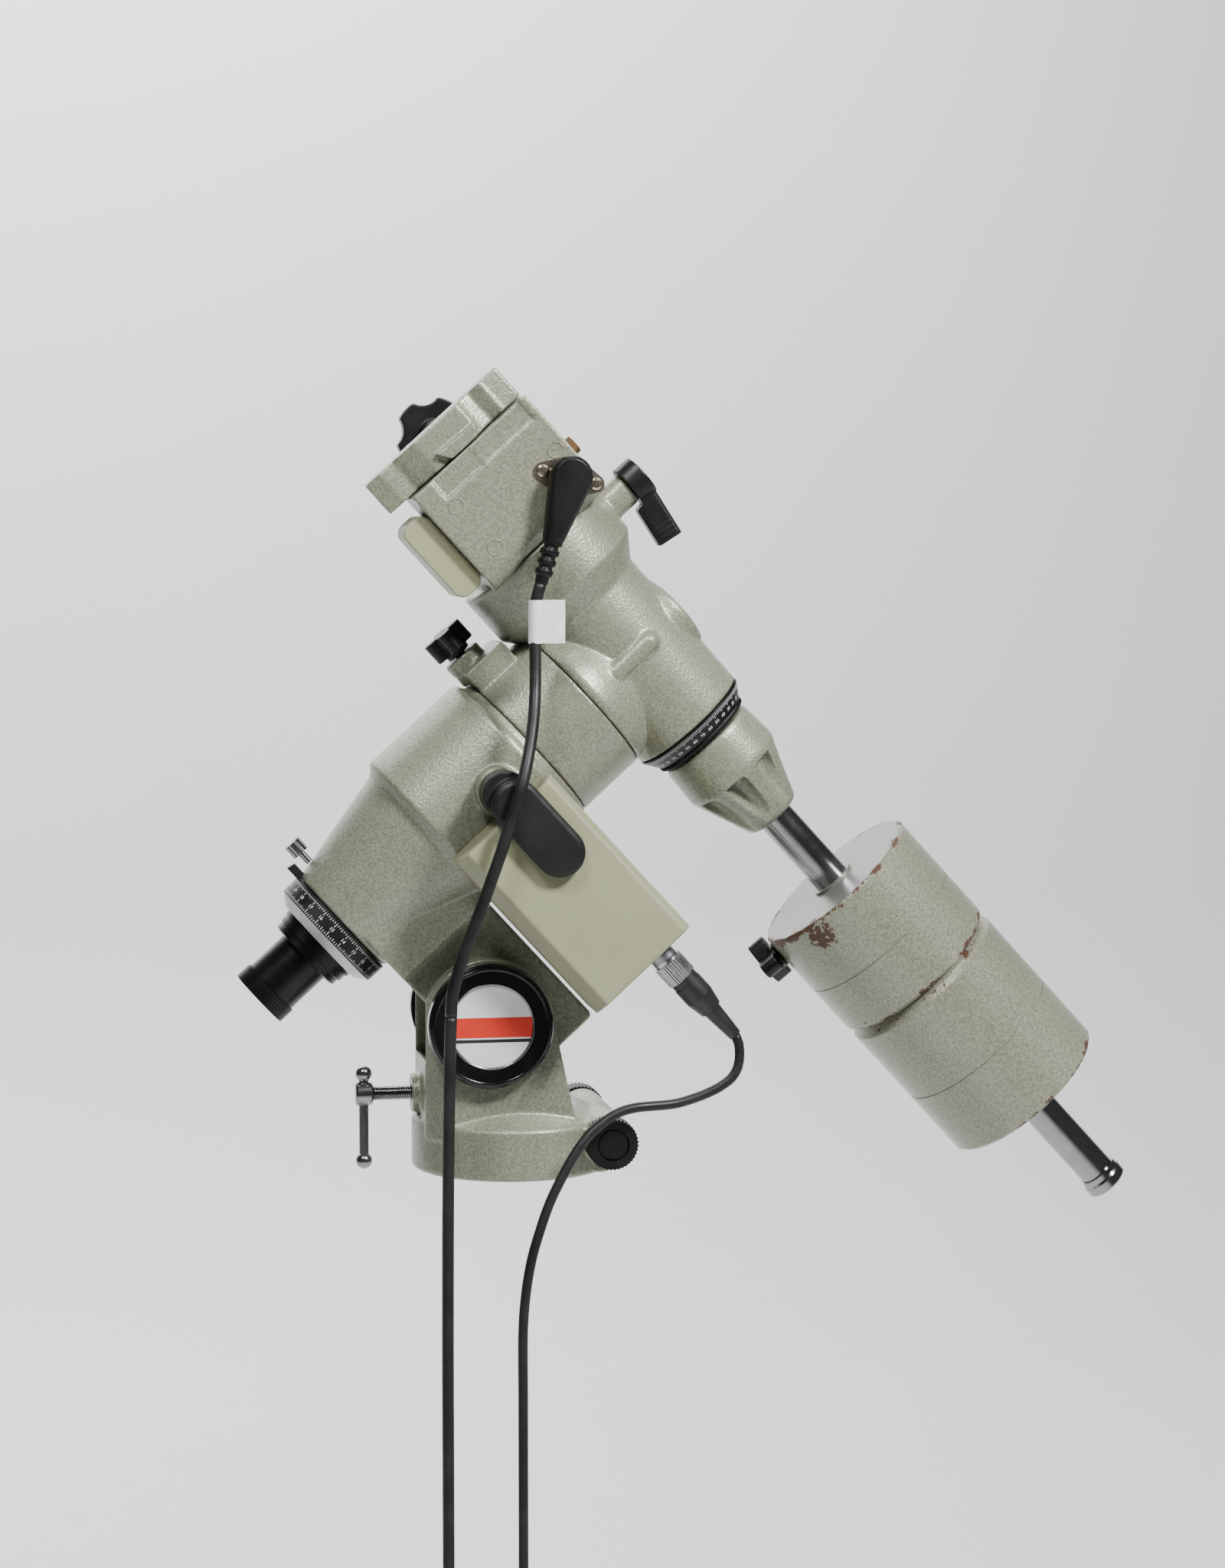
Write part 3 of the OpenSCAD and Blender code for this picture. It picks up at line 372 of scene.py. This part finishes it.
for node in ("ra_setting_circle", "dec_setting_circle"):
    finish(node, dial_black)
finish("dec_socket", warm_nickel)
finish("ra_gear_cover", rubber_black)
finish("circle_retaining_ring", satin_aluminium)
finish("dec_case_bolt", brown_steel)
finish("cable_tag", paper)
finish("cap_badge", badge_bands("badge_print"))
finish("ra_plug", sleeved_plug("plug_with_sleeve"))
finish("polar_scope_lenses", glass)

# ---------- leads ----------
DEC_LEAD = 6.3 * MM
RA_LEAD = 5.3 * MM
DEC_UPPER = [
    (7.3, -61, 317), (4.9, -61.2, 308), (4.2, -62, 297), (4, -63, 285), (3.8, -65, 273),
    (3, -69, 260), (1, -76, 246), (-2.5, -84.5, 231), (-7, -91.2, 215), (-12, -92.3, 200),
    (-16, -92.8, 187), (-20.5, -93, 174), (-25.5, -93, 160), (-31, -92, 145), (-36.5, -91, 130),
    (-40.7, -90, 117), (-43.45, -89.1, 106), (-44, -88, 95),
]
DEC_LOWER = [
    (-44, -88, 94.6), (-44.3, -87.2, 84), (-44.5, -86, 72), (-44.6, -84.6, 58), (-44.7, -83.3, 42),
    (-44.8, -82, 24), (-44.9, -81, 6), (-45, -80.4, -12), (-45.1, -80.1, -32), (-45.2, -80, -54),
    (-45.3, -80, -78), (-45.35, -80, -104), (-45.35, -80, -132), (-45.35, -80, -162),
    (-45.35, -80, -194), (-45.35, -80, -229),
]
RA_ROUTE = [
    (111.24, -62, 77.27), (113.2, -62, 72.6), (113.7, -62.1, 66.5), (112.7, -62.5, 60),
    (109.3, -63, 54.5), (103, -63.5, 50), (96, -64, 46.8), (89, -64.5, 44.4),
    (79, -65.5, 42), (71, -66.5, 41.4),
    (63, -68, 41.3), (55, -69, 40.8), (47, -70, 38.8), (38.5, -71.5, 34), (30, -73, 27),
    (24, -74.5, 20), (18.5, -76, 11.5), (13, -77.5, 2), (8, -79, -8), (3, -81, -21),
    (-1.5, -82, -36), (-4.5, -82, -54), (-6, -82, -75), (-6, -82, -110), (-6, -82, -160),
    (-6, -82, -228),
]


def metres(points):
    return [Vector(point) * MM for point in points]


def coil(centre, radius, turns, pitch, sense, steps=16):
    """Points of a round coil in an upright plane that starts at its side and steps back along Y."""
    points = []
    for i in range(int(turns * steps) + 1):
        angle = 2 * math.pi * i / steps
        points.append(
            centre + Vector((sense * radius * math.cos(angle), pitch * i / steps, -radius * math.sin(angle)))
        )
    return points


def smooth_path(points, step):
    """The same route through closer points, on a Catmull-Rom curve."""
    fine = []
    for i in range(len(points) - 1):
        a = points[max(i - 1, 0)]
        b, c = points[i], points[i + 1]
        d = points[min(i + 2, len(points) - 1)]
        count = max(1, round((c - b).length / step))
        for k in range(count):
            t = k / count
            bend = (2 * a - 5 * b + 4 * c - d) * t**2 + (3 * b - a - 3 * c + d) * t**3
            fine.append(0.5 * (2 * b + (c - a) * t + bend))
    return fine + [points[-1]]


def tube(name, path, diameter, sides=16):
    """Mesh tube along path, closed at both ends."""
    mesh = bmesh.new()
    rings = []
    across = Y.copy()
    for i, point in enumerate(path):
        tangent = (path[min(i + 1, len(path) - 1)] - path[max(i - 1, 0)]).normalized()
        across = (across - across.dot(tangent) * tangent).normalized()
        other = tangent.cross(across)
        rings.append([
            mesh.verts.new(point + diameter / 2 * (math.cos(2 * math.pi * k / sides) * across
                                                   + math.sin(2 * math.pi * k / sides) * other))
            for k in range(sides)
        ])
    for low, high in zip(rings, rings[1:]):
        for k in range(sides):
            mesh.faces.new((low[k], low[(k + 1) % sides], high[(k + 1) % sides], high[k]))
    mesh.faces.new(rings[0][::-1])
    mesh.faces.new(rings[-1])
    return piece_from(name, mesh)


def piece_from(name, mesh, smooth=True):
    bmesh.ops.recalc_face_normals(mesh, faces=mesh.faces)
    data = bpy.data.meshes.new(name)
    mesh.to_mesh(data)
    mesh.free()
    for face in data.polygons:
        face.use_smooth = smooth
    piece = bpy.data.objects.new(name, data)
    bpy.context.scene.collection.objects.link(piece)
    return piece


dec_upper_path = smooth_path(metres(DEC_UPPER), 3 * MM)
dec_coil_centre = Vector((-80, -80, -252)) * MM
dec_coil_path = coil(dec_coil_centre, 34.65 * MM, 3, DEC_LEAD * 1.03, 1)
dec_lower_path = smooth_path(metres(DEC_LOWER) + dec_coil_path, 4 * MM)
ra_coil_centre = Vector((23.15, -82, -248)) * MM
ra_coil_path = coil(ra_coil_centre, 29.15 * MM, 3, RA_LEAD * 1.03, -1)
ra_path = smooth_path(metres(RA_ROUTE) + ra_coil_path, 3 * MM)

dec_upper = finish(tube("dec_lead_top_run", dec_upper_path, DEC_LEAD), jacket)
dec_lower = finish(tube("dec_lead_low_run", dec_lower_path, DEC_LEAD), jacket)
ra_lead = finish(tube("ra_lead_run", ra_path, RA_LEAD), jacket)
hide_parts("dec_lead_upper")
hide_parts("dec_lead_lower", "dec_lead_coil")
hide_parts("ra_lead", "ra_lead_coil")
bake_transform(dec_upper)
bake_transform(dec_lower)
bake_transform(ra_lead)


def baked(piece):
    """Applies a piece's modifiers to its mesh."""
    graph = bpy.context.evaluated_depsgraph_get()
    mesh = bpy.data.meshes.new_from_object(piece.evaluated_get(graph))
    piece.modifiers.clear()
    piece.data = mesh
    for face in mesh.polygons:
        face.use_smooth = True
    return piece


def softened(node, voxel, passes, keep=0.35):
    """A copy of a CAD node with its edges rounded over as a casting's or moulding's are."""
    piece = bpy.data.objects.new(node + "_skin", nodes[node].data.copy())
    bpy.context.scene.collection.objects.link(piece)
    remesh = piece.modifiers.new("remesh", "REMESH")
    remesh.mode = "VOXEL"
    remesh.voxel_size = voxel
    smooth = piece.modifiers.new("smooth", "SMOOTH")
    smooth.factor = 0.5
    smooth.iterations = passes
    if keep < 1:
        piece.modifiers.new("decimate", "DECIMATE").ratio = keep
    baked(piece)
    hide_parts(node)
    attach(piece, body_of[node])
    return piece


SKINS = {  # node: voxel in millimetres and smoothing passes
    "azimuth_base": (0.9, 5), "ra_housing": (0.9, 4), "ra_collar": (0.9, 4), "dec_housing": (0.95, 5),
    "dec_motor_case": (0.75, 5), "saddle": (0.75, 4), "clamp_jaw": (0.7, 3), "shaft_nut": (0.75, 4),
    "ra_motor_case": (0.75, 4), "dec_gear_cover": (0.6, 7), "ra_gear_cover": (0.6, 12),
    "dec_plug": (0.45, 5), "dec_clutch_lever": (0.5, 4), "ra_clutch_knob": (0.45, 5),
    "clamp_knob": (0.6, 6), "upper_weight_knob": (0.5, 6), "lower_weight_knob": (0.5, 6),
}
for node, (voxel, passes) in SKINS.items():
    softened(node, voxel * MM, passes)


def added(piece, body, shader):
    """Puts a new detail piece on a body and its material."""
    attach(piece, body)
    return finish(piece, shader)


def lathe(name, profile, place, steps=96, closed=True, wobble=None):
    """Turned piece: profile is (radius, height) pairs round the z axis of the matrix place."""
    mesh = bmesh.new()
    rings = []
    for radius, height in profile:
        if radius == 0:
            rings.append([mesh.verts.new(place @ Vector((0, 0, height)))] * steps)
            continue
        ring = []
        for k in range(steps):
            angle = 2 * math.pi * k / steps
            reach = radius * (wobble(k) if wobble else 1)
            ring.append(mesh.verts.new(place @ Vector((reach * math.cos(angle), reach * math.sin(angle), height))))
        rings.append(ring)
    pairs = list(zip(rings, rings[1:])) + ([(rings[-1], rings[0])] if closed else [])
    for low, high in pairs:
        for k in range(steps):
            corners = (low[k], low[(k + 1) % steps], high[(k + 1) % steps], high[k])
            mesh.faces.new(dict.fromkeys(corners))
    return piece_from(name, mesh)


def hoop(radius, thickness, height=0.0, sides=12):
    """Closed profile of a round wire hoop for lathe."""
    return [
        (radius + thickness * math.cos(2 * math.pi * k / sides), height + thickness * math.sin(2 * math.pi * k / sides))
        for k in range(sides)
    ]


def facing_viewer(point):
    """Frame at point with z towards the near side."""
    return axes(point, Vector((1, 0, 0)), Vector((0, 0, 1)), -Y)


CAP_FACE = PIVOT - 45 * MM * Y
badge_rim = [(21.85, 0), (23.2, 0), (23.2, 1.5), (22.9, 1.8), (22.5, 1.85), (22.1, 1.6), (21.85, 1.2)]
added(lathe("badge_rim", [(r * MM, z * MM) for r, z in badge_rim], facing_viewer(CAP_FACE)),
      "base", bright_plate)
cap_lip = [(29.6, 0), (30.6, 0.35), (31.3, 0.3), (31.8, -0.2), (31.4, -0.8), (29.6, -0.5)]
added(lathe("cap_lip", [(r * MM, z * MM) for r, z in cap_lip], facing_viewer(CAP_FACE - 2 * MM * Y)),
      "base", gloss_black)

window = [(15.2, 4), (16, 4.7), (17, 4.7), (17.5, 4.1), (17, 3.6), (15.6, 3.6)]
added(lathe("polar_window_ring", [(r * MM, z * MM) for r, z in window], polar_frame(224 * MM)),
      "dec_head", enamel)
window_plug = [(0, 4.15), (8, 4.3), (13.5, 4.9), (15.1, 5), (15.1, 3.9), (0, 3.7)]
added(lathe("polar_window_plug", [(r * MM, z * MM) for r, z in window_plug], polar_frame(224 * MM), closed=False),
      "dec_head", satin_black)

for number, (u, h) in enumerate([(-19.9, 125.7), (-19.3, 95.9), (38.5, 112)]):
    centre = dec_frame(h * MM) @ Vector((u * MM, -49.97 * MM, 0))
    mark = lathe(f"case_ring_mark_{number + 1}", hoop(4.1 * MM, 0.38 * MM), facing_viewer(centre), 48)
    added(mark, "dec_head", enamel)

# ---------- graduations ----------
INK = 0.03 * MM


class Dial:
    """Draws ink on a ring: angles run from the near side, and y runs up the ring's profile."""

    def __init__(self, name, foot, across, up, radius, slope=0.0):
        self.name = name
        self.foot, self.across, self.up = foot, across, up
        self.radius, self.slope = radius, slope
        self.mesh = bmesh.new()

    def point(self, angle, y, lift):
        radial = -math.cos(angle) * Y + math.sin(angle) * self.across
        along = math.cos(self.slope) * self.up + math.sin(self.slope) * radial
        normal = math.cos(self.slope) * radial - math.sin(self.slope) * self.up
        return self.foot + self.radius * radial + y * along + lift * normal

    def tick(self, angle, low, high, width=0.28 * MM):
        half = width / 2 / self.radius
        corners = [
            self.mesh.verts.new(self.point(angle + side * half, y, lift))
            for lift in (-INK, INK) for side, y in ((-1, low), (1, low), (1, high), (-1, high))
        ]
        for face in ((3, 2, 1, 0), (4, 5, 6, 7), (0, 1, 5, 4), (1, 2, 6, 5), (2, 3, 7, 6), (3, 0, 4, 7)):
            self.mesh.faces.new([corners[k] for k in face])

    def number(self, text, angle, y, height):
        """Digits centred at angle and y, standing up the profile."""
        curve = bpy.data.curves.new("digits", "FONT")
        curve.body = text
        curve.size = height / 0.7
        curve.align_x = "CENTER"
        curve.align_y = "CENTER"
        curve.extrude = INK
        curve.resolution_u = 3
        holder = bpy.data.objects.new("digits", curve)
        bpy.context.scene.collection.objects.link(holder)
        flat = holder.evaluated_get(bpy.context.evaluated_depsgraph_get()).to_mesh()
        places = [
            self.mesh.verts.new(self.point(angle + v.co.x / self.radius, y + v.co.y, v.co.z)) for v in flat.vertices
        ]
        for face in flat.polygons:
            self.mesh.faces.new([places[k] for k in face.vertices])
        bpy.data.objects.remove(holder)

    def done(self, body):
        bmesh.ops.remove_doubles(self.mesh, verts=self.mesh.verts, dist=0.001 * MM)
        return added(piece_from(self.name, self.mesh, False), body, white_ink)


hours = Dial("ra_circle_marks", POLAR_FOOT - 30.9 * MM * POLAR, -TO_SADDLE, POLAR, 33.2 * MM)
NEAR_HOUR = 14.4  # the hour on the near side
for step in range(144):
    angle = math.radians(15) * (NEAR_HOUR - step / 6)
    long = {0: 2.5, 3: 1.6}.get(step % 6, 1.05) * MM
    hours.tick(angle, 9.0 * MM - long, 9.0 * MM)
    hours.tick(angle, 0.3 * MM, 0.3 * MM + long * 1.08)
    if step % 6 == 0:
        hours.number(str(step // 6), angle, 4.7 * MM, 1.9 * MM)
hours.done("ra_setting_circle")

# the index beside the hour circle: a small block with its top edges cut back
tab = bmesh.new()
low = [(-31.5, -2.6), (-41.2, -2.6), (-41.2, 2.6), (-31.5, 2.6)]
top = [(-31.5, -1.9), (-40.2, -1.9), (-40.2, 1.9), (-31.5, 1.9)]
foot, crest = (
    [tab.verts.new(polar_frame(a * MM) @ Vector((c * MM, side * MM, 0))) for c, side in outline]
    for a, outline in ((-21.6, low), (-16.9, top))
)
tab.faces.new(foot[::-1])
tab.faces.new(crest)
for k in range(4):
    tab.faces.new((foot[k], foot[(k + 1) % 4], crest[(k + 1) % 4], crest[k]))
added(piece_from("circle_index_tab", tab, False), "ra_head", satin_black)

RIM = (29.6, 34.3, 7.4)  # the cone's lower and upper radius and its height
cone = math.atan2(RIM[1] - RIM[0], RIM[2])
degrees = Dial("dec_circle_marks", CROSSING - 58.2 * MM * TO_SADDLE, POLAR, TO_SADDLE, RIM[0] * MM, cone)
CONE_FACE = math.hypot(RIM[1] - RIM[0], RIM[2]) * MM
NEAR_DEGREE = 65
for degree in range(0, 360, 2):
    angle = math.radians(NEAR_DEGREE - degree)
    long = (3.3 if degree % 10 == 0 else 2.3) * MM
    degrees.tick(angle, CONE_FACE - 0.2 * MM - long, CONE_FACE - 0.2 * MM, 0.26 * MM)
    if degree % 10 == 0:
        folded = abs((degree + 180) % 360 - 180)
        degrees.number(str(min(folded, 180 - folded)), angle, 2.6 * MM, 1.9 * MM)
degrees.done("dec_setting_circle")

ribs = [(28.0, 0.1), (28.75, 0.1), (28.85, 0.4), (28.85, 1.8), (28.75, 2.1), (28.0, 2.1)]
ribbed = lathe("dec_circle_grip", [(r * MM, z * MM) for r, z in ribs], dec_frame(-61.2 * MM), 480,
               wobble=lambda k: 1.012 if k % 3 == 0 else 1.0)
added(ribbed, "dec_setting_circle", dial_black)

# ---------- floor, light and camera ----------
FLOOR_Z = cad_box[0][2] - 0.55
sweep = bmesh.new()
profile = [(-4, 0), (2.8, 0)] + [
    (2.8 + 0.6 * math.sin(angle), 0.6 - 0.6 * math.cos(angle))
    for angle in [math.radians(9 * step) for step in range(1, 11)]
] + [(3.4, 4.2)]
rows = [[sweep.verts.new((x, y, FLOOR_Z + z)) for x in (-4.5, 4.5)] for y, z in profile]
for low, high in zip(rows, rows[1:]):
    sweep.faces.new((low[0], low[1], high[1], high[0]))
floor = piece_from("studio_sweep", sweep)
backdrop = Shader("backdrop", Base_Color=grey(0.80), Roughness=0.9)
backdrop.set("Base Color", backdrop.mix(backdrop.noise(0.5, 2), grey(0.78), grey(0.84)))
backdrop.bump(backdrop.noise(0.02, 3), 0.4 * MM, 0.3)
finish(floor, backdrop)

scene = bpy.context.scene
world = bpy.data.worlds.new("studio")
scene.world = world
world.use_nodes = True
world.node_tree.nodes["Background"].inputs["Color"].default_value = (0.95, 0.97, 1, 1)
world.node_tree.nodes["Background"].inputs["Strength"].default_value = 0.09


def softbox(name, place, size, power, aim=Vector((0.05, 0, 0.2))):
    light = bpy.data.lights.new(name, "AREA")
    light.shape = "RECTANGLE"
    light.size, light.size_y = size
    light.energy = power
    lamp = bpy.data.objects.new(name, light)
    scene.collection.objects.link(lamp)
    lamp.location = place
    lamp.rotation_euler = (aim - Vector(place)).to_track_quat("-Z", "Y").to_euler()


softbox("key", (1.0, -1.35, 1.75), (0.4, 0.4), 105)
softbox("top", (-0.7, -1.2, 1.9), (0.5, 0.5), 34)
softbox("wall", (-0.6, 2.2, 2.5), (2.8, 0.8), 170, Vector((-0.6, 3.35, 0.2)))

CAMERA_AIM = Vector((0.056, 0, 0.207))
AZIMUTH = math.radians(-10)
ELEVATION = math.radians(4.5)
DISTANCE = 1.8
camera_data = bpy.data.cameras.new("camera")
camera_data.lens = 75.94
camera_data.sensor_width = 36
camera = bpy.data.objects.new("camera", camera_data)
scene.collection.objects.link(camera)
back = Vector((
    math.sin(AZIMUTH) * math.cos(ELEVATION), -math.cos(AZIMUTH) * math.cos(ELEVATION), math.sin(ELEVATION)
))
camera.location = CAMERA_AIM + DISTANCE * back
camera.rotation_euler = back.to_track_quat("Z", "Y").to_euler()
scene.camera = camera

bpy.context.view_layer.update()
